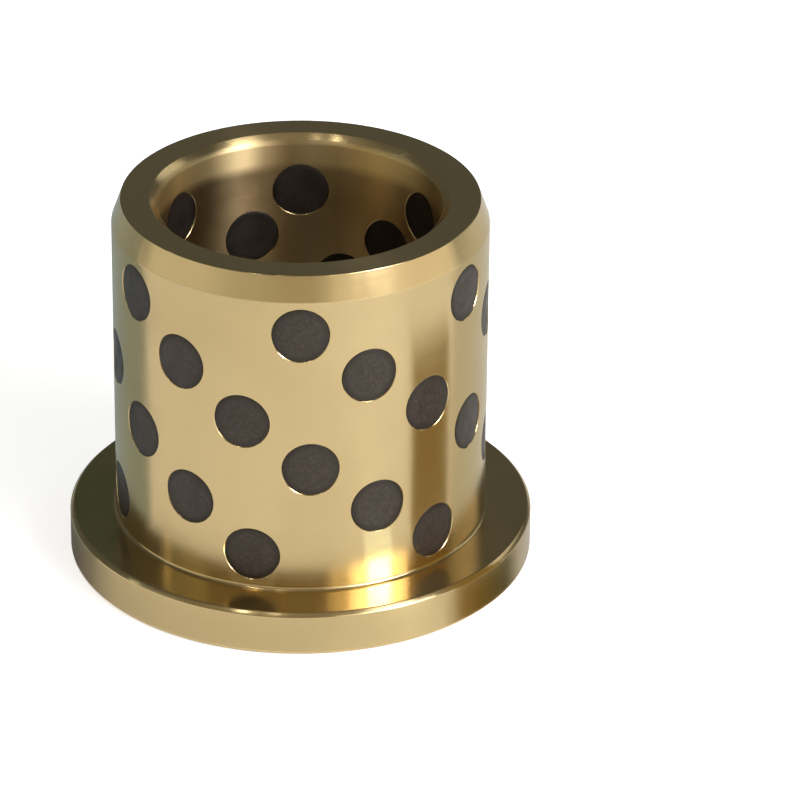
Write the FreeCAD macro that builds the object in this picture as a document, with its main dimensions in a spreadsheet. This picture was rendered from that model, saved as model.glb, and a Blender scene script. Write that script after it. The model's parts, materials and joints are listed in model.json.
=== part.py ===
import FreeCAD, Part
import math
import os
import Sketcher
from FreeCAD import Vector
from Sketcher import Constraint

# Flanged plain bushing of brass, plugged with solid lubricant
#
# The bore axis is Z. The thrust face of the flange lies on z = 0, the barrel stands up from it,
# and the nose of the barrel is the highest face. The first plug of the top row faces -Y.

# Driving sizes, in millimetres and degrees

driving_sizes = [
    ("bore_diameter", 30.0),           # the running bore
    ("wall_thickness", 5.0),           # of the barrel, whose outside is pressed into the housing
    ("flange_width", 5.0),             # how far the flange stands out from the barrel
    ("flange_thickness", 5.0),
    ("overall_length", 41.5),          # thrust face to nose face
    ("lead_in_length", 2.7),           # height of the cone that guides the barrel into its housing
    ("lead_in_angle", 20.0),           # slope of that cone from the axis
    ("bore_chamfer", 1.0),             # both mouths of the bore, at 45 degrees
    ("flange_chamfer", 0.4),           # both edges of the flange rim, at 45 degrees
    ("foot_fillet", 0.4),              # where the barrel meets the shoulder of the flange
    ("plug_diameter", 6.0),
    ("plugs_per_row", 6),
    ("plug_rows", 6),
    ("row_turn", 21.0),                # each row is turned this much against the row above it
    ("first_row_depth", 6.45),         # nose face down to the middle of the top row
    ("last_row_height", 4.05),         # shoulder up to the middle of the bottom row
    ("thrust_plug_diameter", 5.0),
    ("thrust_plug_depth", 3.0),        # blind holes, shallower than the flange is thick
    ("thrust_plug_count", 8),
]

doc = FreeCAD.newDocument("flanged_bushing")
sheet = doc.addObject("Spreadsheet::Sheet", "Sizes")
for line, (alias, number) in enumerate(driving_sizes, start=1):
    sheet.set(f"A{line}", alias)
    sheet.set(f"B{line}", str(number))
    sheet.setAlias(f"B{line}", alias)
doc.recompute()

row_count = int(sheet.plug_rows)
places_per_row = int(sheet.plugs_per_row)
thrust_count = int(sheet.thrust_plug_count)

# Radii and places that several pieces share, as expressions of the sheet

bore_radius = "Sizes.bore_diameter / 2"
barrel_radius = f"({bore_radius} + Sizes.wall_thickness)"
flange_radius = f"({barrel_radius} + Sizes.flange_width)"
thrust_circle = f"({bore_radius} + {flange_radius}) / 2"
row_pitch = (
    "(Sizes.overall_length - Sizes.flange_thickness"
    " - Sizes.first_row_depth - Sizes.last_row_height) / (Sizes.plug_rows - 1)"
)

# The bore's chamfers and the lead-in cone each take at most a quarter of the wall

mouth_depth = "min(Sizes.bore_chamfer; Sizes.wall_thickness / 4)"
lead_in_depth = "min(Sizes.lead_in_length * tan(Sizes.lead_in_angle * 1 deg); Sizes.wall_thickness / 4)"


def value(expression):
    """What an expression of the sheet comes to."""
    return float(sheet.evalExpression(expression))


def row_height(row):
    """Height of the middle of a row of wall plugs. Row 0 is the one nearest the nose."""
    return f"Sizes.overall_length - Sizes.first_row_depth - {row} * {row_pitch}"


def row_angle(row):
    """Angle of the row's first plug, about Z, from -Y towards +X."""
    return f"{row} * Sizes.row_turn"


# Sketch helpers

def plane_sketch(body, role, name):
    """A sketch on one of the body's own origin planes."""
    sketch = body.newObject("Sketcher::SketchObject", name)
    plane = next(f for f in body.Origin.OriginFeatures if f.Role == role)
    sketch.AttachmentSupport = (plane, [""])
    sketch.MapMode = "FlatFace"
    return sketch


def drive(sketch, kind, places, name, expression):
    """A named dimension of the sketch, tied to the sheet."""
    index = sketch.addConstraint(Constraint(kind, *places, value(expression)))
    sketch.renameConstraint(index, name)
    sketch.setExpression(f"Constraints.{name}", expression)


# How a sketch numbers a line's ends and a circle's centre, its own origin and its axes

start, end, centre = range(1, 4)
origin = (-1, 1)
across_axis, up_axis = -1, -2

# The turned blank: half its section, revolved about Z

bushing = doc.addObject("PartDesign::Body", "bushing")
bushing.Label = "bushing"
section = plane_sketch(bushing, "XZ_Plane", "half_section")

bore = value(bore_radius)
barrel = value(barrel_radius)
flange = value(flange_radius)
nose = value("Sizes.overall_length")
shoulder = value("Sizes.flange_thickness")
mouth = value(mouth_depth)
edge = value("Sizes.flange_chamfer")
foot = value("Sizes.foot_fillet")
lead = value("Sizes.lead_in_length")

thrust_inner = Vector(bore + mouth, 0)
thrust_outer = Vector(flange - edge, 0)
rim_bottom = Vector(flange, edge)
rim_top = Vector(flange, shoulder - edge)
shoulder_outer = Vector(flange - edge, shoulder)
shoulder_inner = Vector(barrel + foot, shoulder)
foot_centre = Vector(barrel + foot, shoulder + foot)
barrel_bottom = Vector(barrel, shoulder + foot)
barrel_top = Vector(barrel, nose - lead)
nose_outer = Vector(barrel - value(lead_in_depth), nose)
nose_inner = Vector(bore + mouth, nose)
bore_top = Vector(bore, nose - mouth)
bore_bottom = Vector(bore, mouth)

foot_circle = Part.Circle(foot_centre, Vector(0, 0, 1), foot)
outline = [
    ("thrust_face", Part.LineSegment(thrust_inner, thrust_outer)),
    ("rim_low", Part.LineSegment(thrust_outer, rim_bottom)),
    ("rim", Part.LineSegment(rim_bottom, rim_top)),
    ("rim_high", Part.LineSegment(rim_top, shoulder_outer)),
    ("shoulder", Part.LineSegment(shoulder_outer, shoulder_inner)),
    ("foot", Part.ArcOfCircle(foot_circle, math.pi, 1.5 * math.pi)),
    ("barrel", Part.LineSegment(barrel_bottom, barrel_top)),
    ("lead_in", Part.LineSegment(barrel_top, nose_outer)),
    ("nose", Part.LineSegment(nose_outer, nose_inner)),
    ("nose_mouth", Part.LineSegment(nose_inner, bore_top)),
    ("bore", Part.LineSegment(bore_top, bore_bottom)),
    ("thrust_mouth", Part.LineSegment(bore_bottom, thrust_inner)),
]
section.addGeometry([shape for _, shape in outline], False)
on = {name: index for index, (name, _) in enumerate(outline)}

# The foot's arc runs from the barrel down to the shoulder, and is tangent to both
section.addConstraint(Constraint("Tangent", on["shoulder"], end, on["foot"], end))
section.addConstraint(Constraint("Tangent", on["barrel"], start, on["foot"], start))
corners = [name for name, _ in outline if name != "foot"]
for before, after in zip(corners, corners[1:] + corners[:1]):
    if (before, after) != ("shoulder", "barrel"):
        section.addConstraint(Constraint("Coincident", on[before], end, on[after], start))
for level in ("thrust_face", "shoulder", "nose"):
    section.addConstraint(Constraint("Horizontal", on[level]))
for upright in ("rim", "barrel", "bore"):
    section.addConstraint(Constraint("Vertical", on[upright]))
section.addConstraint(Constraint("PointOnObject", on["thrust_face"], start, across_axis))

drive(section, "DistanceX", (*origin, on["bore"], start), "bore_wall", bore_radius)
drive(section, "DistanceX", (*origin, on["barrel"], start), "barrel_wall", barrel_radius)
drive(section, "DistanceX", (*origin, on["rim"], start), "rim_wall", flange_radius)
drive(section, "DistanceY", (*origin, on["shoulder"], start), "shoulder_height", "Sizes.flange_thickness")
drive(section, "DistanceY", (*origin, on["nose"], start), "nose_height", "Sizes.overall_length")
drive(section, "Radius", (on["foot"],), "foot_radius", "Sizes.foot_fillet")
# Each slope by its width and its rise: the line, its inner end, its outer end, its low end, its high end
slopes = [
    ("lead_in", end, start, start, end, lead_in_depth, "Sizes.lead_in_length"),
    ("rim_low", start, end, start, end, "Sizes.flange_chamfer", "Sizes.flange_chamfer"),
    ("rim_high", end, start, start, end, "Sizes.flange_chamfer", "Sizes.flange_chamfer"),
    ("nose_mouth", end, start, end, start, mouth_depth, mouth_depth),
    ("thrust_mouth", start, end, end, start, mouth_depth, mouth_depth),
]
for name, inner, outer, low, high, width, rise in slopes:
    line = on[name]
    drive(section, "DistanceX", (line, inner, line, outer), f"{name}_width", width)
    drive(section, "DistanceY", (line, low, line, high), f"{name}_rise", rise)

blank = bushing.newObject("PartDesign::Revolution", "turned_blank")
blank.Profile = section
blank.ReferenceAxis = (section, ["V_Axis"])
blank.Angle = 360
doc.recompute()
cut_features = [blank]


def ring_of_holes(name, sketch, cut_type, depth, count):
    """Cut the sketched circle into the body and repeat the cut round Z."""
    hole = bushing.newObject("PartDesign::Pocket", f"{name}_hole")
    hole.Profile = sketch
    hole.Type = cut_type
    hole.Reversed = True
    if depth:
        hole.setExpression("Length", depth)
    ring = bushing.newObject("PartDesign::PolarPattern", f"{name}_ring")
    ring.Originals = [hole]
    ring.Axis = (next(f for f in bushing.Origin.OriginFeatures if f.Role == "Z_Axis"), [""])
    ring.Angle = 360
    ring.setExpression("Occurrences", count)
    bushing.Tip = ring
    doc.recompute()
    cut_features.append(ring)


# The holes of the barrel wall, one ring for each row

for row in range(row_count):
    name = f"row_{row + 1}"
    drill = plane_sketch(bushing, "XZ_Plane", f"{name}_drill")
    middle = Vector(0, value(row_height(row)))
    drill.addGeometry(Part.Circle(middle, Vector(0, 0, 1), value("Sizes.plug_diameter / 2")), False)
    drill.addConstraint(Constraint("PointOnObject", 0, centre, up_axis))
    drive(drill, "DistanceY", (*origin, 0, centre), "height", row_height(row))
    drive(drill, "Diameter", (0,), "hole", "Sizes.plug_diameter")
    drill.setExpression(
        "AttachmentOffset",
        f"placement(vector(0; 0; 0); rotation(vector(0; 1; 0); {row_angle(row)}))",
    )
    ring_of_holes(name, drill, "ThroughAll", None, "Sizes.plugs_per_row")

# The blind holes of the thrust face

drill = plane_sketch(bushing, "XY_Plane", "thrust_drill")
middle = Vector(value(thrust_circle), 0)
drill.addGeometry(Part.Circle(middle, Vector(0, 0, 1), value("Sizes.thrust_plug_diameter / 2")), False)
drill.addConstraint(Constraint("PointOnObject", 0, centre, across_axis))
drive(drill, "DistanceX", (*origin, 0, centre), "circle_radius", thrust_circle)
drive(drill, "Diameter", (0,), "hole", "Sizes.thrust_plug_diameter")
ring_of_holes("thrust", drill, "Length", "Sizes.thrust_plug_depth", "Sizes.thrust_plug_count")

# The wall plugs: a round bar through the wall, trimmed to the barrel outside and to the bore

wall_outside = doc.addObject("Part::Cylinder", "wall_outside")
wall_outside.setExpression("Radius", barrel_radius)
wall_outside.setExpression("Height", "Sizes.overall_length")
wall_inside = doc.addObject("Part::Cylinder", "wall_inside")
wall_inside.setExpression("Radius", bore_radius)
wall_inside.setExpression("Height", "Sizes.overall_length")
wall = doc.addObject("Part::Cut", "plug_wall")
wall.Base = wall_outside
wall.Tool = wall_inside

wall_plugs = []
for row in range(row_count):
    for place in range(places_per_row):
        name = f"r{row + 1}_c{place + 1}"
        bar = doc.addObject("Part::Cylinder", f"bar_{name}")
        bar.setExpression("Radius", "Sizes.plug_diameter / 2")
        bar.setExpression("Height", f"{barrel_radius} + Sizes.plug_diameter")
        angle = f"{row_angle(row)} + {place} * 360 / Sizes.plugs_per_row"
        bar.setExpression(
            "Placement", f"placement(vector(0; 0; {row_height(row)}); rotation({angle}; 0; 90))"
        )
        plug = doc.addObject("Part::Common", f"wall_plug_{name}")
        plug.Label = f"wall_plug_{name}"
        plug.Base = bar
        plug.Tool = wall
        wall_plugs.append(plug)

# The thrust plugs: short round bars, flush with the thrust face

thrust_plugs = []
for place in range(thrust_count):
    name = f"thrust_plug_{place + 1:02d}"
    plug = doc.addObject("Part::Cylinder", name)
    plug.Label = name
    plug.setExpression("Radius", "Sizes.thrust_plug_diameter / 2")
    plug.setExpression("Height", "Sizes.thrust_plug_depth")
    angle = f"({place} * 360 / Sizes.thrust_plug_count)"
    plug.setExpression("Placement.Base.x", f"{thrust_circle} * cos({angle} * 1 deg)")
    plug.setExpression("Placement.Base.y", f"{thrust_circle} * sin({angle} * 1 deg)")
    thrust_plugs.append(plug)

doc.recompute()

# Every object must be sound, and every cut must have removed material

for item in doc.Objects:
    if {"Invalid", "Error"} & set(item.State):
        raise SystemExit(f"{item.Name} failed: {item.State}")
for before, after in zip(cut_features, cut_features[1:]):
    if after.Shape.Volume >= before.Shape.Volume:
        raise SystemExit(f"{after.Name} cut nothing")

pieces = [bushing] + wall_plugs + thrust_plugs
for piece in pieces:
    if piece.Shape.isNull() or not piece.Shape.isValid() or len(piece.Shape.Solids) != 1:
        raise SystemExit(f"{piece.Label} is not one sound solid")

os.makedirs("parts", exist_ok=True)
for piece in pieces:
    piece.Shape.exportStep(f"parts/{piece.Label}.step")
    print(f"{piece.Label}: {piece.Shape.Volume:.1f} mm3")
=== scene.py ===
import json
import math

import bmesh
import bpy
from mathutils import Matrix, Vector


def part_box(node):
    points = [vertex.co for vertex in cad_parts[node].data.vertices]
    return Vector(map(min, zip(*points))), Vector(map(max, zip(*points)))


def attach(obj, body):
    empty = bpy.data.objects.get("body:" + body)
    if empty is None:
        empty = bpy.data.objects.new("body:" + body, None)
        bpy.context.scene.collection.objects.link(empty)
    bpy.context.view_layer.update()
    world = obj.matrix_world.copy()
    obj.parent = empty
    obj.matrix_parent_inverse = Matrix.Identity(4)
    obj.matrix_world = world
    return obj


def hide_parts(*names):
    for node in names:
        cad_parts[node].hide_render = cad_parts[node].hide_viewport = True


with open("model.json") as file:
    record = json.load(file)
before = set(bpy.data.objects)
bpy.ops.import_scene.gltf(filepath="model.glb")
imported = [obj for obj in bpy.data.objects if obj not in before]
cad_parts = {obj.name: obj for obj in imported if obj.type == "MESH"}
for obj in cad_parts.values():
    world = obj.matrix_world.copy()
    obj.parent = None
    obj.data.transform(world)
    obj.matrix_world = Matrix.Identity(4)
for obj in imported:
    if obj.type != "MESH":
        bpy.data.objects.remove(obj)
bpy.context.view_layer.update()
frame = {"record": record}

mm = 0.001

# Sizes of the frame that the new pieces follow
mounts = {mount["name"]: mount for mount in frame["record"]["mounts"]}
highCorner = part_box("bushing")[1]
boreRadius = mounts["bore"]["dims"]["r_mm"] * mm
barrelRadius = mounts["barrel"]["dims"]["r_mm"] * mm
flangeRadius = round(highCorner.x, 5)
noseHeight = round(highCorner.z, 5)
shoulderHeight = mounts["shoulder"]["pos_m"][2]
mouthChamfer = (noseHeight - mounts["bore"]["dims"]["length_mm"] * mm) / 2
barrelMiddle = mounts["barrel"]["pos_m"][2]
barrelHalf = mounts["barrel"]["dims"]["length_mm"] * mm / 2
footRadius = barrelMiddle - barrelHalf - shoulderHeight
leadInBottom = barrelMiddle + barrelHalf


# Material helpers

def newMaterial(name):
    material = bpy.data.materials.new(name)
    material.use_nodes = True
    tree = material.node_tree
    tree.nodes.clear()
    output = tree.nodes.new("ShaderNodeOutputMaterial")
    shader = tree.nodes.new("ShaderNodeBsdfPrincipled")
    tree.links.new(shader.outputs["BSDF"], output.inputs["Surface"])
    return material, tree, shader


def rampNode(tree, source, stops):   # stops are (position, colour), where a lone number is a grey
    node = tree.nodes.new("ShaderNodeValToRGB")
    while len(node.color_ramp.elements) < len(stops):
        node.color_ramp.elements.new(0.5)
    for element, (position, colour) in zip(node.color_ramp.elements, stops):
        element.position = position
        element.color = (*colour, 1) if isinstance(colour, tuple) else (colour, colour, colour, 1)
    tree.links.new(source, node.inputs["Fac"])
    return node.outputs["Color"]


def noiseNode(tree, coordinates, scale, detail=2.0, rough=0.5):
    node = tree.nodes.new("ShaderNodeTexNoise")
    node.inputs["Scale"].default_value = scale
    node.inputs["Detail"].default_value = detail
    node.inputs["Roughness"].default_value = rough
    tree.links.new(coordinates, node.inputs["Vector"])
    return node.outputs["Fac"]


def mathNode(tree, operation, first, second):
    node = tree.nodes.new("ShaderNodeMath")
    node.operation = operation
    for socket, source in zip(node.inputs, (first, second)):
        if isinstance(source, (int, float)):
            socket.default_value = source
        else:
            tree.links.new(source, socket)
    return node.outputs["Value"]


def mixColour(tree, factor, first, second):
    node = tree.nodes.new("ShaderNodeMix")
    node.data_type = "RGBA"
    for socket, source in zip((node.inputs[0], node.inputs[6], node.inputs[7]), (factor, first, second)):
        if isinstance(source, float):
            socket.default_value = source
        elif isinstance(source, tuple):
            socket.default_value = (*source, 1)
        else:
            tree.links.new(source, socket)
    return node.outputs[2]


def bumpNode(tree, height, strength, distance):
    node = tree.nodes.new("ShaderNodeBump")
    node.inputs["Strength"].default_value = strength
    node.inputs["Distance"].default_value = distance
    tree.links.new(height, node.inputs["Height"])
    return node.outputs["Normal"]


def fromAxis(tree, split):   # how far a point lies from the bushing's axis
    flat = tree.nodes.new("ShaderNodeCombineXYZ")
    tree.links.new(split.outputs["X"], flat.inputs["X"])
    tree.links.new(split.outputs["Y"], flat.inputs["Y"])
    length = tree.nodes.new("ShaderNodeVectorMath")
    length.operation = "LENGTH"
    tree.links.new(flat.outputs["Vector"], length.inputs[0])
    return length.outputs["Value"]


# Turned brass: rings left by the tool, faint handling marks, a slightly duller tint here and there, and a
# bore that is browner further in, partly from lubricant rubbed over it and partly as painted shade. The
# bore's tints
# also change from left to right: they were fitted to the photograph, and these bands are painted
# reflections and shade

brass = {
    "colour": (0.62, 0.472, 0.232),
    "tarnish": (0.52, 0.385, 0.176),
    "tarnishBy": [(0.45, 0.0), (0.75, 0.55)],   # how much tarnish, by the value of the clouds
    "cloudsPerMetre": 55,
    "smudgesPerMetre": 160,
    "ringsPerMetre": 5200,
    "ringsAcross": 12,                          # how fast the rings change on the way round, per metre
    "ringDepth": 0.004 * mm,
    "ringStrength": 0.35,
    "ringShare": 0.3,                           # of the marks that make the roughness, the rest is smudges
    "marks": (0.35, 0.7),                       # between these values of the marks
    "roughness": (0.17, 0.27),                  # the roughness goes from one to the other
    "anisotropy": 0.85,
    # Tints of the bore by how far to the right they are, in shares of its radius: painted reflections and
    # shade in bands
    "boreMouthPaintedLight": [
        (-0.38, (0.64, 0.485, 0.238)), (-0.26, (0.46, 0.335, 0.16)), (-0.08, (0.43, 0.3, 0.14)),
        (0.08, (0.66, 0.5, 0.26)), (0.26, (0.64, 0.47, 0.22)), (0.4, (0.88, 0.65, 0.28)),
        (0.8, (0.9, 0.69, 0.32)), (0.92, (0.62, 0.472, 0.232)),
    ],
    "boreFilmAndPaintedLight": [
        (-0.5, (0.4, 0.29, 0.14)), (-0.36, (0.31, 0.21, 0.095)), (-0.1, (0.34, 0.25, 0.12)),
        (0.1, (0.42, 0.32, 0.16)), (0.28, (0.45, 0.335, 0.16)), (0.42, (0.66, 0.48, 0.22)),
        (0.78, (0.66, 0.48, 0.22)), (0.92, (0.42, 0.31, 0.15)),
    ],
    "boreEdge": (1.007, 1.03),                  # the tints fade out between these shares of its radius
    "filmAndShadeEnd": (3.0 * mm, 4.2 * mm),            # the film, browner with painted shade, fades in between these depths from each face
    "filmRough": 0.13,                          # added to the roughness where the film is
    "mouthRough": 0.25,                         # added to the roughness of the bore's mouths
    "leadInRough": -0.07,                       # added to the roughness of the lead-in
    "leadInFade": 0.083 * mm,                   # over this height to each side of its lower edge
    "leadInReach": (18.875 * mm, 18.95 * mm),   # radii between which that begins at the nose
}


def makeBrass():
    material, tree, shader = newMaterial("turnedBrass")
    place = tree.nodes.new("ShaderNodeTexCoord").outputs["Object"]
    split = tree.nodes.new("ShaderNodeSeparateXYZ")
    tree.links.new(place, split.inputs["Vector"])
    reach = fromAxis(tree, split)

    # Turning rings follow radius plus height, so they run round every wall and every face
    along = mathNode(tree, "ADD", reach, split.outputs["Z"])
    turning = tree.nodes.new("ShaderNodeCombineXYZ")
    for axis in "XY":
        across = mathNode(tree, "MULTIPLY", split.outputs[axis], brass["ringsAcross"])
        tree.links.new(across, turning.inputs[axis])
    tree.links.new(mathNode(tree, "MULTIPLY", along, brass["ringsPerMetre"]), turning.inputs["Z"])
    rings = noiseNode(tree, turning.outputs["Vector"], 1.0, detail=3.0, rough=0.6)
    smudge = noiseNode(tree, place, brass["smudgesPerMetre"], detail=3.0, rough=0.55)
    cloud = noiseNode(tree, place, brass["cloudsPerMetre"])
    metal = mixColour(tree, rampNode(tree, cloud, brass["tarnishBy"]), brass["colour"], brass["tarnish"])

    # The bore, by radius, and how deep in it, by distance from the middle of the height
    share = mathNode(tree, "DIVIDE", reach, flangeRadius)
    inside, outside = (edge * boreRadius / flangeRadius for edge in brass["boreEdge"])
    bored = rampNode(tree, share, [(inside, 1.0), (outside, 0.0)])
    middle = noseHeight / 2
    fromMiddle = mathNode(tree, "ABSOLUTE", mathNode(tree, "SUBTRACT", split.outputs["Z"], middle), 0)
    depth = mathNode(tree, "DIVIDE", fromMiddle, middle)
    shallow, deep = (1 - end / middle for end in brass["filmAndShadeEnd"])
    deepFilmAndShade = rampNode(tree, depth, [(deep, 1.0), (shallow, 0.0)])
    aside = mathNode(tree, "DIVIDE", split.outputs["X"], 2 * boreRadius)
    aside = mathNode(tree, "ADD", aside, 0.5)
    # The bore's colour: painted reflections and shade in bands from left to right, browner and darker
    # deeper in
    mouthPaintedLight, filmAndPaintedLight = (
        rampNode(tree, aside, [(spot / 2 + 0.5, colour) for spot, colour in brass[name]])
        for name in ("boreMouthPaintedLight", "boreFilmAndPaintedLight")
    )
    boreTintAndPaintedLight = mixColour(tree, deepFilmAndShade, mouthPaintedLight, filmAndPaintedLight)
    tree.links.new(mixColour(tree, bored, metal, boreTintAndPaintedLight), shader.inputs["Base Color"])

    # Roughness: the marks, then what the bore and the lead-in add
    smudges = mathNode(tree, "MULTIPLY", smudge, 1 - brass["ringShare"])
    marks = mathNode(tree, "ADD", smudges, mathNode(tree, "MULTIPLY", rings, brass["ringShare"]))
    finish = rampNode(tree, marks, list(zip(brass["marks"], brass["roughness"])))
    boreRough = rampNode(tree, depth, [(deep, brass["filmRough"]), (shallow, brass["mouthRough"])])
    finish = mathNode(tree, "ADD", finish, mathNode(tree, "MULTIPLY", bored, boreRough))
    height = mathNode(tree, "DIVIDE", split.outputs["Z"], noseHeight)
    fade = brass["leadInFade"]
    raised = rampNode(tree, height, [
        ((leadInBottom - fade) / noseHeight, 0.0), ((leadInBottom + fade) / noseHeight, 1.0),
    ])
    begins, whole = (radius / flangeRadius for radius in brass["leadInReach"])
    leadIn = mathNode(tree, "MULTIPLY", raised, rampNode(tree, share, [(begins, 0.0), (whole, 1.0)]))
    finish = mathNode(tree, "ADD", finish, mathNode(tree, "MULTIPLY", leadIn, brass["leadInRough"]))
    tree.links.new(finish, shader.inputs["Roughness"])
    bump = bumpNode(tree, rings, brass["ringStrength"], brass["ringDepth"])
    tree.links.new(bump, shader.inputs["Normal"])

    # The rings smear a highlight across them, so the tangent that runs round is turned by a quarter
    shader.inputs["Metallic"].default_value = 1.0
    shader.inputs["Anisotropic"].default_value = brass["anisotropy"]
    shader.inputs["Anisotropic Rotation"].default_value = 0.25
    tangent = tree.nodes.new("ShaderNodeTangent")
    tangent.direction_type = "RADIAL"
    tangent.axis = "Z"
    tree.links.new(tangent.outputs["Tangent"], shader.inputs["Tangent"])
    return material


# Pressed graphite: dark grey-brown, dull, grainy, with painted shade where it meets its hole and on its
# inner ends in the bore

graphite = {
    "middle": (0.02, 0.015, 0.012),
    "speckle": (0.042, 0.034, 0.027),
    "speckleBy": [(0.45, 0.0), (0.72, 1.0)],      # how much speckle, by the value of the grain
    "rim": (0.005, 0.004, 0.003),
    "rimBy": [(0.74, 0.0), (0.97, 1.0)],          # how much painted rim shade, by the share of the plug's radius
    "boreTintAndPaintedLight": (0.008, 0.005, 0.005),
    "boreShadeShare": 0.8,
    "boreShadeReach": (15.4 * mm, 16 * mm),          # radii between which the painted shade ends
    "roughBy": [(0.35, 0.38), (0.7, 0.55)],       # roughness by the value of the patches
    "patchesPerMetre": 420,
    "sheen": 0.55,                                # specular level
    "sheenTint": (1.0, 0.86, 0.7),
    "grainsPerMetre": 2600,
    "grainDepth": 0.03 * mm,
    "grainStrength": 0.5,
}


def makeGraphite():
    material, tree, shader = newMaterial("pressedGraphite")
    place = tree.nodes.new("ShaderNodeTexCoord").outputs["Object"]
    across = tree.nodes.new("ShaderNodeUVMap")
    across.uv_map = "acrossPlug"
    reach = tree.nodes.new("ShaderNodeVectorMath")
    reach.operation = "LENGTH"
    tree.links.new(across.outputs["UV"], reach.inputs[0])

    grain = noiseNode(tree, place, graphite["grainsPerMetre"], detail=4.0, rough=0.65)
    patch = noiseNode(tree, place, graphite["patchesPerMetre"])
    speckle = rampNode(tree, grain, graphite["speckleBy"])
    body = mixColour(tree, speckle, graphite["middle"], graphite["speckle"])
    split = tree.nodes.new("ShaderNodeSeparateXYZ")
    tree.links.new(place, split.inputs["Vector"])
    share = mathNode(tree, "DIVIDE", fromAxis(tree, split), barrelRadius)
    # Painted shade on the plugs' inner ends, inside the bore
    near, far = (radius / barrelRadius for radius in graphite["boreShadeReach"])
    boreTintAndPaintedLight = rampNode(tree, share, [(near, graphite["boreShadeShare"]), (far, 0.0)])
    body = mixColour(tree, boreTintAndPaintedLight, body, graphite["boreTintAndPaintedLight"])
    # Painted shade in the recess round the plug's rim, where it meets its hole
    edge = rampNode(tree, reach.outputs["Value"], graphite["rimBy"])
    tree.links.new(mixColour(tree, edge, body, graphite["rim"]), shader.inputs["Base Color"])
    tree.links.new(rampNode(tree, patch, graphite["roughBy"]), shader.inputs["Roughness"])
    bump = bumpNode(tree, grain, graphite["grainStrength"], graphite["grainDepth"])
    tree.links.new(bump, shader.inputs["Normal"])
    shader.inputs["Specular IOR Level"].default_value = graphite["sheen"]
    shader.inputs["Specular Tint"].default_value = (*graphite["sheenTint"], 1)
    return material


turnedBrass = makeBrass()
pressedGraphite = makeGraphite()
print("materials made")


# Mesh helpers

def spinRound(bm, steps):   # a line in the XZ plane becomes a closed round piece about Z
    bmesh.ops.spin(
        bm, geom=bm.verts[:] + bm.edges[:], cent=(0, 0, 0), axis=(0, 0, 1),
        angle=2 * math.pi, steps=steps, use_merge=True,
    )
    bmesh.ops.remove_doubles(bm, verts=bm.verts, dist=0.0001 * mm)
    bmesh.ops.recalc_face_normals(bm, faces=bm.faces)


def roundBar(points, steps):   # points are (radius, height), from the axis at one end to the axis again
    bm = bmesh.new()
    line = [bm.verts.new((radius, 0, height)) for radius, height in points]
    for first, second in zip(line, line[1:]):
        bm.edges.new((first, second))
    spinRound(bm, steps)
    return bm


def bendEnds(bm):   # a bar through the wall ends in the barrel's curve outside and in the bore's inside
    for vert in bm.verts:
        wall = barrelRadius if vert.co.z > (barrelRadius + boreRadius) / 2 else boreRadius
        vert.co.z += math.sqrt(wall ** 2 - vert.co.x ** 2) - wall


def newPiece(bm, name, material, sharpAngle):
    mesh = bpy.data.meshes.new(name)
    bm.to_mesh(mesh)
    bm.free()
    piece = bpy.data.objects.new(name, mesh)
    bpy.context.scene.collection.objects.link(piece)
    mesh.materials.append(material)
    mesh.shade_smooth()
    mesh.set_sharp_from_angle(angle=sharpAngle)
    return piece


# The plug holes: 6 rows of 6 through the barrel wall, each row turned against the row above it,
# and a ring of blind holes in the thrust face

wallHole = {
    "radius": round(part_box("wall_plug_r1_c1")[1].x, 5),
    "rows": 6,
    "perRow": 6,
    "rowTurn": math.radians(21),
}
thrustHole = {
    "count": 8,
    "depth": round(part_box("thrust_plug_01")[1].z, 5),
}
drill = {
    "steps": 72,
    "deburr": 0.07 * mm,     # the edge of each hole is just broken
    "overshoot": 0.3 * mm,   # how far a drill stands out of the face
}


def wallPlace(row, place):   # the hole's own Z points out of the wall, and its own Y points up
    low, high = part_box(f"wall_plug_r{row + 1}_c{place + 1}")
    turn = row * wallHole["rowTurn"] + place * 2 * math.pi / wallHole["perRow"]
    lift = Matrix.Translation((0, 0, (low.z + high.z) / 2))
    return lift @ Matrix.Rotation(turn, 4, "Z") @ Matrix.Rotation(math.pi / 2, 4, "X")


def thrustPlace(place):
    low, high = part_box(f"thrust_plug_{place + 1:02d}")
    return Matrix.Translation(((low.x + high.x) / 2, (low.y + high.y) / 2, 0)), (high.x - low.x) / 2


def wallDrill():
    radius, deburr, over = wallHole["radius"], drill["deburr"], drill["overshoot"]
    bm = roundBar([
        (0, barrelRadius + over),
        (radius + deburr + over, barrelRadius + over),
        (radius, barrelRadius - deburr),
        (radius, boreRadius + deburr),
        (radius + deburr + over, boreRadius - over),
        (0, boreRadius - over),
    ], drill["steps"])
    bendEnds(bm)
    return bm


def thrustDrill(radius):
    deburr, over = drill["deburr"], drill["overshoot"]
    return roundBar([
        (0, thrustHole["depth"]),
        (radius, thrustHole["depth"]),
        (radius, deburr),
        (radius + deburr + over, -over),
        (0, -over),
    ], drill["steps"])


def addDrill(allDrills, bm, place):
    bmesh.ops.transform(bm, matrix=place, verts=bm.verts)
    mesh = bpy.data.meshes.new("oneDrill")
    bm.to_mesh(mesh)
    bm.free()
    allDrills.from_mesh(mesh)
    bpy.data.meshes.remove(mesh)


def makeDrills():
    allDrills = bmesh.new()
    for row in range(wallHole["rows"]):
        for place in range(wallHole["perRow"]):
            addDrill(allDrills, wallDrill(), wallPlace(row, place))
    for place in range(thrustHole["count"]):
        matrix, radius = thrustPlace(place)
        addDrill(allDrills, thrustDrill(radius), matrix)
    return newPiece(allDrills, "drills", turnedBrass, math.pi)


# The turned body: half its outline spun round Z, then drilled

turnedBody = {
    "leadInAngle": math.radians(20),
    "rimChamfer": 0.4 * mm,
    "edgeBreak": 0.09 * mm,   # every turned edge is just taken off
    "edgeSteps": 3,
    "footSteps": 6,
    "spinSteps": 480,
    "sharpAngle": math.radians(32),
}


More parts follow.
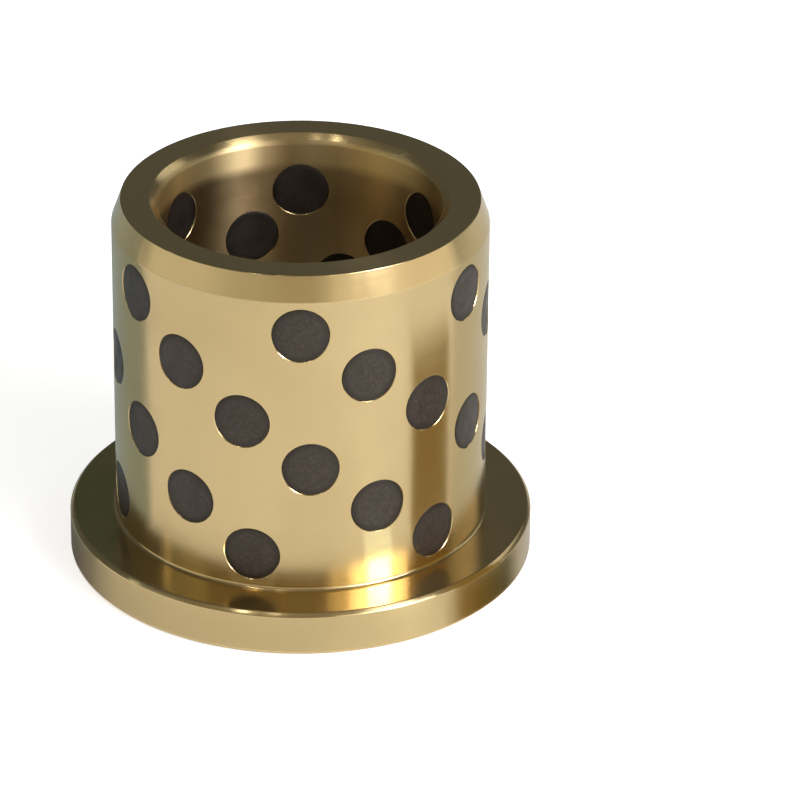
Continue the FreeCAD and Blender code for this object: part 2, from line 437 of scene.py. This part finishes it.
def turnedOutline():
    bm = bmesh.new()
    chamfer = turnedBody["rimChamfer"]
    leadIn = (noseHeight - leadInBottom) * math.tan(turnedBody["leadInAngle"])
    corners = [
        (boreRadius + mouthChamfer, 0),
        (flangeRadius - chamfer, 0),
        (flangeRadius, chamfer),
        (flangeRadius, shoulderHeight - chamfer),
        (flangeRadius - chamfer, shoulderHeight),
        (barrelRadius, leadInBottom),
        (barrelRadius - leadIn, noseHeight),
        (boreRadius + mouthChamfer, noseHeight),
        (boreRadius, noseHeight - mouthChamfer),
        (boreRadius, mouthChamfer),
    ]
    line = [bm.verts.new((radius, 0, height)) for radius, height in corners]
    foot = bm.verts.new((barrelRadius, 0, shoulderHeight))
    loop = line[:5] + [foot] + line[5:]
    for first, second in zip(loop, loop[1:] + loop[:1]):
        bm.edges.new((first, second))
    bmesh.ops.bevel(
        bm, geom=[foot], offset=footRadius, segments=turnedBody["footSteps"],
        affect="VERTICES", profile=0.5, material=-1,
    )
    bmesh.ops.bevel(
        bm, geom=line, offset=turnedBody["edgeBreak"], segments=turnedBody["edgeSteps"],
        affect="VERTICES", profile=0.5, material=-1,
    )
    return bm


def makeBody():
    bm = turnedOutline()
    spinRound(bm, turnedBody["spinSteps"])
    blank = newPiece(bm, "blank", turnedBrass, turnedBody["sharpAngle"])
    drills = makeDrills()
    cut = blank.modifiers.new("drilled", "BOOLEAN")
    cut.object = drills
    cut.operation = "DIFFERENCE"
    cut.solver = "EXACT"
    depsgraph = bpy.context.evaluated_depsgraph_get()
    mesh = bpy.data.meshes.new_from_object(blank.evaluated_get(depsgraph))
    bm = bmesh.new()
    bm.from_mesh(mesh)
    bpy.data.objects.remove(blank)
    bpy.data.objects.remove(drills)
    body = newPiece(bm, "turnedBody", turnedBrass, turnedBody["sharpAngle"])
    even = body.modifiers.new("evenShading", "WEIGHTED_NORMAL")
    even.mode = "FACE_AREA"
    even.weight = 100
    even.keep_sharp = True
    return body


body = makeBody()
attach(body, "root")
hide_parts("bushing")
print("body turned and drilled:", len(body.data.vertices), "points")


# The plugs: bars of pressed graphite that stand back a hair from the metal and are worn at the edge

plug = {
    "steps": 64,
    "slack": 0.012 * mm,      # between a plug and its hole
    "recess": 0.05 * mm,      # how far a plug stands back from the metal
    "edge": 0.06 * mm,        # how far the worn edge reaches in, and down
    "edgeTurn": 0.3,          # where it turns down, as a share of that
    "faceRings": 5,
    "sharpAngle": math.radians(50),
}


def plugEnd(radius, height, outward):   # rings of one end face, from the axis to the side
    edge, rings = plug["edge"], plug["faceRings"]
    face = height - outward * plug["recess"]
    points = [((radius - edge) * ring / rings, face) for ring in range(rings + 1)]
    turn = plug["edgeTurn"] * edge
    points.append((radius - turn, face - outward * turn))
    points.append((radius, face - outward * edge))
    return points


def makePlug(name, node, radius, top, bottom, place, bends):
    radius -= plug["slack"]
    bm = roundBar(plugEnd(radius, top, 1) + plugEnd(radius, bottom, -1)[::-1], plug["steps"])
    across = bm.loops.layers.uv.new("acrossPlug")
    for face in bm.faces:
        for corner in face.loops:
            corner[across].uv = corner.vert.co.xy / radius
    if bends:
        bendEnds(bm)
    bmesh.ops.transform(bm, matrix=place, verts=bm.verts)
    piece = newPiece(bm, name, pressedGraphite, plug["sharpAngle"])
    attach(piece, "root")
    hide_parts(node)


for row in range(wallHole["rows"]):
    for place in range(wallHole["perRow"]):
        name = f"r{row + 1}_c{place + 1}"
        makePlug(
            f"wallPlug_{name}", f"wall_plug_{name}", wallHole["radius"],
            barrelRadius, boreRadius, wallPlace(row, place), True,
        )
for place in range(thrustHole["count"]):   # only the open end stands back, so the recess is added inside
    matrix, radius = thrustPlace(place)
    makePlug(
        f"thrustPlug_{place + 1:02d}", f"thrust_plug_{place + 1:02d}", radius,
        thrustHole["depth"] + plug["recess"], 0, matrix, False,
    )
print("plugs pressed in")


# Pale floor: its own colour carries the shadow, and a little light of its own makes it white to the
# camera and in reflections

floor = {
    "half": 3,
    "height": -0.02 * mm,   # a hair below the thrust face, so that the two never share a plane
    "colour": 0.85,
    "roughness": 0.9,
    "seenGlow": 0.66,       # to the camera
    "mirroredGlow": 0.26,   # in reflections
}


def makeFloor():
    bm = bmesh.new()
    bmesh.ops.create_grid(bm, x_segments=1, y_segments=1, size=floor["half"])
    bmesh.ops.translate(bm, vec=(0, 0, floor["height"]), verts=bm.verts)
    material, tree, shader = newMaterial("paleFloor")
    shader.inputs["Base Color"].default_value = (floor["colour"],) * 3 + (1,)
    shader.inputs["Roughness"].default_value = floor["roughness"]
    shader.inputs["Specular IOR Level"].default_value = 0.0
    path = tree.nodes.new("ShaderNodeLightPath")
    seen = mathNode(tree, "MULTIPLY", path.outputs["Is Camera Ray"], floor["seenGlow"])
    mirrored = mathNode(tree, "ADD", path.outputs["Is Glossy Ray"], path.outputs["Is Transmission Ray"])
    mirrored = mathNode(tree, "MULTIPLY", mirrored, floor["mirroredGlow"])
    shader.inputs["Emission Color"].default_value = (1, 1, 1, 1)
    tree.links.new(mathNode(tree, "ADD", seen, mirrored), shader.inputs["Emission Strength"])
    piece = newPiece(bm, "floor", material, math.pi)


makeFloor()


# World: a pale wall low down on the camera's side and round past both sides, brightest on the right,
# with a dim room above it and a pale ceiling high up. Behind the bushing there is only the dim room

sky = {
    "wall": (11, 18),              # degrees above the floor between which the pale wall ends
    "ceiling": (48, 58, 72, 82),   # degrees between which the ceiling comes and goes
    "wallLeft": (0.86, 0.85, 0.78),
    "wallMiddle": (0.8, 0.74, 0.64),
    "wallRight": (1.2, 1.14, 1.05),
    "wallTurn": (0.12, 0.4),       # how far to the side the wall changes from its middle
    "ceilingColour": (0.34, 0.315, 0.28),
    "frontRoom": (0.27, 0.24, 0.18),
    "backRoom": (0.111, 0.118, 0.115),
    "side": (0.02, 0.25),          # how far to the front the room behind gives way
    "wallEnd": (-0.35, -0.15),     # how far to the front the pale wall begins
}


def makeWorld():
    world = bpy.data.worlds.new("studio")
    bpy.context.scene.world = world
    world.use_nodes = True
    tree = world.node_tree
    tree.nodes.clear()
    output = tree.nodes.new("ShaderNodeOutputWorld")
    background = tree.nodes.new("ShaderNodeBackground")
    direction = tree.nodes.new("ShaderNodeTexCoord").outputs["Generated"]
    split = tree.nodes.new("ShaderNodeSeparateXYZ")
    tree.links.new(direction, split.inputs["Vector"])
    rightward = mathNode(tree, "MULTIPLY", mathNode(tree, "ADD", split.outputs["X"], 1.0), 0.5)
    near, far = sky["wallTurn"]
    turns = [((turn + 1) / 2, sky[name]) for turn, name in (
        (-far, "wallLeft"), (-near, "wallMiddle"), (near, "wallMiddle"), (far, "wallRight"),
    )]
    wall = rampNode(tree, rightward, turns)
    levels = [math.sin(math.radians(level)) for level in sky["ceiling"]]
    colours = ("frontRoom", "ceilingColour", "ceilingColour", "frontRoom")
    above = rampNode(tree, split.outputs["Z"], [(level, sky[name]) for level, name in zip(levels, colours)])
    toFront = mathNode(tree, "MULTIPLY", split.outputs["Y"], -1)
    inFront = rampNode(tree, toFront, list(zip(sky["side"], (0.0, 1.0))))
    room = mixColour(tree, inFront, sky["backRoom"], above)
    wallTop = [math.sin(math.radians(level)) for level in sky["wall"]]
    underTop = rampNode(tree, split.outputs["Z"], list(zip(wallTop, (1.0, 0.0))))
    ends = [(level + 1) / 2 for level in sky["wallEnd"]]
    halfway = mathNode(tree, "MULTIPLY", mathNode(tree, "ADD", toFront, 1.0), 0.5)
    atWall = mathNode(tree, "MULTIPLY", underTop, rampNode(tree, halfway, list(zip(ends, (0.0, 1.0)))))
    room = mixColour(tree, atWall, room, wall)
    path = tree.nodes.new("ShaderNodeLightPath")
    colour = mixColour(tree, path.outputs["Is Camera Ray"], room, (1.0, 1.0, 1.0))
    tree.links.new(colour, background.inputs["Color"])
    tree.links.new(background.outputs["Background"], output.inputs["Surface"])


makeWorld()


# Cards that show only in reflections, each a painted reflection: a brown one upright on the right stands
# for a brass neighbour, a bright one flat in front is a painted pool of light, a dark one upright behind
# the flange's left is painted shade, and grey sheets on the floor behind are the floor's painted shade and
# shadow. Sizes run along the card's own turn and across it

cards = {
    "uprightCard": {
        "place": (30.3 * mm, -14.9 * mm, 12 * mm),
        "size": (14.5 * mm, 24 * mm),
        "turn": 62,
        "tilt": 90,
        "colour": (0.33, 0.24, 0.1),
    },
    "glowCard": {
        "place": (21.5 * mm, -30.1 * mm, 0.3 * mm),
        "size": (8.5 * mm, 7 * mm),
        "turn": 41.7,
        "tilt": 0,
        "colour": (1.85, 2.1, 2.15),
    },
    "darkBehindLeft": {
        "place": (-27.5 * mm, 60 * mm, 36 * mm),
        "size": (17 * mm, 28 * mm),
        "turn": 0,
        "tilt": 90,
        "colour": (0.055, 0.075, 0.064),
    },
    "sheetBehindLeft": {
        "place": (-328 * mm, 173 * mm, 0.2 * mm),
        "size": (688 * mm, 132 * mm),
        "turn": 159.6,
        "tilt": 0,
        "colour": (0.34, 0.4, 0.41),
    },
    "sheetBehindRight": {
        "place": (341 * mm, 149 * mm, 0.2 * mm),
        "size": (686 * mm, 130 * mm),
        "turn": 16,
        "tilt": 0,
        "colour": (0.71, 0.71, 0.67),
    },
}


def glowingMaterial(name):
    material, tree, shader = newMaterial(name)
    shader.inputs["Base Color"].default_value = (0, 0, 0, 1)
    shader.inputs["Specular IOR Level"].default_value = 0.0
    shader.inputs["Emission Strength"].default_value = 1.0
    return material, tree, shader.inputs["Emission Color"]


def stageCard(bm, name, material):
    piece = newPiece(bm, name, material, math.pi)
    piece.visible_camera = False
    piece.visible_diffuse = False
    piece.visible_shadow = False


def makeCard(name, sizes):
    bm = bmesh.new()
    bmesh.ops.create_grid(bm, x_segments=1, y_segments=1, size=0.5)
    bmesh.ops.scale(bm, vec=(*sizes["size"], 1), verts=bm.verts)
    turn = Matrix.Rotation(math.radians(sizes["turn"]), 4, "Z")
    tilt = Matrix.Rotation(math.radians(sizes["tilt"]), 4, "X")
    bmesh.ops.transform(bm, matrix=Matrix.Translation(sizes["place"]) @ turn @ tilt, verts=bm.verts)
    material, tree, glow = glowingMaterial(name)
    glow.default_value = (*sizes["colour"], 1)
    stageCard(bm, name, material)


for name, sizes in cards.items():
    makeCard(name, sizes)


# A glowing strip on the floor round the front of the flange, where the rim mirrors it: a painted reflection
# of the floor, with painted light, shade and shadow along it. Its stops are degrees round from the front
# towards the right, as places on the rim

rimStrip = {
    "ends": 88,
    "steps": 44,
    "reach": (0.4 * mm, 9.1 * mm),   # from the rim, along the way that the rim mirrors the camera
    "height": 0.25 * mm,
    # Painted light, shade and shadow along the strip, as the rim mirrors it
    "stops": [
        (-74, 0.14), (-64, 0.27), (-52, 0.6), (-35, 0.76), (0, 0.87), (28, 1.12), (37, 1.0),
        (44, (0.36, 0.26, 0.12)), (50, (0.22, 0.16, 0.05)), (62, (0.13, 0.13, 0.09)), (71, 0.62),
    ],
}


def makeRimStrip():
    bm = bmesh.new()
    bmesh.ops.create_grid(bm, x_segments=rimStrip["steps"], y_segments=1, size=1)
    along = bm.loops.layers.uv.new("alongStrip")
    for face in bm.faces:
        for corner in face.loops:
            corner[along].uv = (corner.vert.co.x + 1) / 2, 0
    near, far = rimStrip["reach"]
    ends = rimStrip["ends"]
    for vert in bm.verts:
        turn = math.radians(vert.co.x * ends)
        reach = far if vert.co.y < 0 else near
        vert.co.x = flangeRadius * math.sin(turn) + reach * math.sin(2 * turn)
        vert.co.y = -flangeRadius * math.cos(turn) - reach * math.cos(2 * turn)
        vert.co.z = rimStrip["height"]
    material, tree, glow = glowingMaterial("rimStrip")
    uvMap = tree.nodes.new("ShaderNodeUVMap")
    uvMap.uv_map = "alongStrip"
    split = tree.nodes.new("ShaderNodeSeparateXYZ")
    tree.links.new(uvMap.outputs["UV"], split.inputs["Vector"])
    stops = [((degrees / ends + 1) / 2, colour) for degrees, colour in rimStrip["stops"]]
    tree.links.new(rampNode(tree, split.outputs["X"], stops), glow)
    stageCard(bm, "rimStrip", material)


makeRimStrip()


# Lamps, by where they stand as seen from the bushing: degrees round from the front towards the
# right, degrees up, and how wide and high they look. Level is how bright the lamp's face looks

lamps = {
    "keyBox": {"round": 50.5, "up": 32, "wide": 33, "high": 12, "level": 10.0},
    "keyCore": {"round": 50, "up": 30.5, "wide": 13, "high": 8, "level": 45.0},
    "keyFlank": {"round": 27.5, "up": 30, "wide": 17, "high": 14, "level": 2.8},
    "highBox": {"round": 59, "up": 54.5, "wide": 18, "high": 10, "level": 3.2},
    "leftSpot": {"round": -92, "up": 30, "wide": 3, "high": 3, "level": 6.0},
    "softLeft": {"round": -76, "up": 27.5, "wide": 28, "high": 14, "level": 0.42},
    "stripLeft": {"round": -40, "up": 59.5, "wide": 3, "high": 8, "level": 11.0},
    "stripFront": {"round": -18.5, "up": 62, "wide": 3, "high": 8, "level": 4.0},
    "softRight": {"round": 98, "up": 28, "wide": 26, "high": 14, "level": 0.35},
    "softBehind": {"round": 127, "up": 28, "wide": 28, "high": 16, "level": 0.9},
    "overhead": {"round": 0, "up": 90, "wide": 36, "high": 36, "level": 0.8},
}
lampColours = {"keyBox": (1, 1.02, 1.15), "keyCore": (1, 1.02, 1.15), "softLeft": (0.85, 1, 1)}
unseenLamps = ("overhead",)   # lights the floor and the graphite, but isn't mirrored in the brass
lampDistance = 1.0


def makeLamp(name, sizes):
    light = bpy.data.lights.new(name, "AREA")
    light.shape = "RECTANGLE"
    light.size = 2 * lampDistance * math.tan(math.radians(sizes["wide"]) / 2)
    light.size_y = 2 * lampDistance * math.tan(math.radians(sizes["high"]) / 2)
    light.color = lampColours.get(name, (1, 1, 1))
    light.energy = sizes["level"] * light.size * light.size_y * math.pi
    lamp = bpy.data.objects.new(name, light)
    bpy.context.scene.collection.objects.link(lamp)
    turn = Matrix.Rotation(math.radians(sizes["round"]), 4, "Z")
    tilt = Matrix.Rotation(math.radians(90 - sizes["up"]), 4, "X")
    middle = Matrix.Translation((0, 0, noseHeight / 2))
    lamp.matrix_world = middle @ turn @ tilt @ Matrix.Translation((0, 0, lampDistance))
    lamp.visible_camera = False
    lamp.visible_glossy = name not in unseenLamps


for name, sizes in lamps.items():
    makeLamp(name, sizes)
print("studio lit")


# Camera, at the photograph's angle

view = {
    "down": 27.47,          # degrees it looks down
    "distance": 0.541,      # from the middle of the bushing
    "aside": 1.128,         # degrees turned to the right of the bushing
    "below": 0.338,         # degrees turned below it
    "focal": 5042.9,        # pixels
    "picture": 800,         # pixels
    "sensor": 36,           # millimetres
    "nearest": 0.01,        # nothing closer is drawn
}


def makeCamera():
    data = bpy.data.cameras.new("camera")
    data.sensor_width = view["sensor"]
    data.lens = data.sensor_width * view["focal"] / view["picture"]
    data.clip_start = view["nearest"]
    camera = bpy.data.objects.new("camera", data)
    bpy.context.scene.collection.objects.link(camera)
    down = math.radians(view["down"])
    back = view["distance"] * math.cos(down)
    up = noseHeight / 2 + view["distance"] * math.sin(down)
    tilt = Matrix.Rotation(math.pi / 2 - down, 4, "X")
    aside = Matrix.Rotation(-math.radians(view["aside"]), 4, "Y")
    below = Matrix.Rotation(-math.radians(view["below"]), 4, "X")
    camera.matrix_world = Matrix.Translation((0, -back, up)) @ tilt @ (aside @ below)
    bpy.context.scene.camera = camera


makeCamera()
bpy.context.scene.view_settings.view_transform = "Standard"
print("camera in place")
